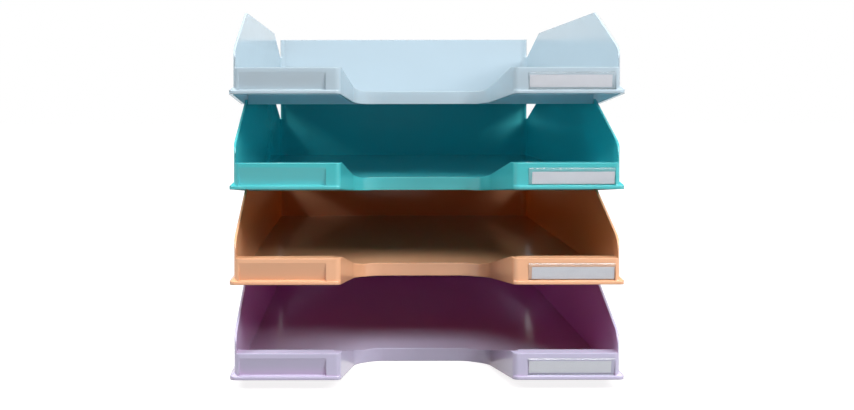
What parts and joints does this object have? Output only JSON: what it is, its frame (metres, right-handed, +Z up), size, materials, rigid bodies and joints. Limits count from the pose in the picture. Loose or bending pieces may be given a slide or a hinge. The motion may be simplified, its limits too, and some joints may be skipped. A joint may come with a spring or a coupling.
{
  "type": "stack of moulded plastic letter trays",
  "caption": "Open-fronted letter trays of glossy moulded plastic, stacked on each other's wing tops, each with a finger scoop and a clear label holder.",
  "frame": {"origin": "on the surface that the stack stands on, under the middle of the lowest tray", "axes": "+Z up, +Y from the open front to the back wall, +X to the right as seen from the front"},
  "size_m": [0.2562, 0.346, 0.2506],
  "materials": {
    "tray_lilac": "glossy moulded polystyrene",
    "tray_peach": "glossy moulded polystyrene",
    "tray_teal": "glossy moulded polystyrene",
    "tray_blue": "glossy moulded polystyrene",
    "label_holder": "clear and glossy",
    "label_card": "plain matt card"
  },
  "bodies": {
    "root": {"tray_lilac": "tray_lilac", "tray_peach": "tray_peach", "tray_teal": "tray_teal", "tray_blue": "tray_blue", "label_holder_lilac": "label_holder", "label_holder_peach": "label_holder", "label_holder_teal": "label_holder", "label_holder_blue": "label_holder", "label_card_lilac": "label_card", "label_card_peach": "label_card", "label_card_teal": "label_card", "label_card_blue": "label_card"}
  },
  "joints": []
}
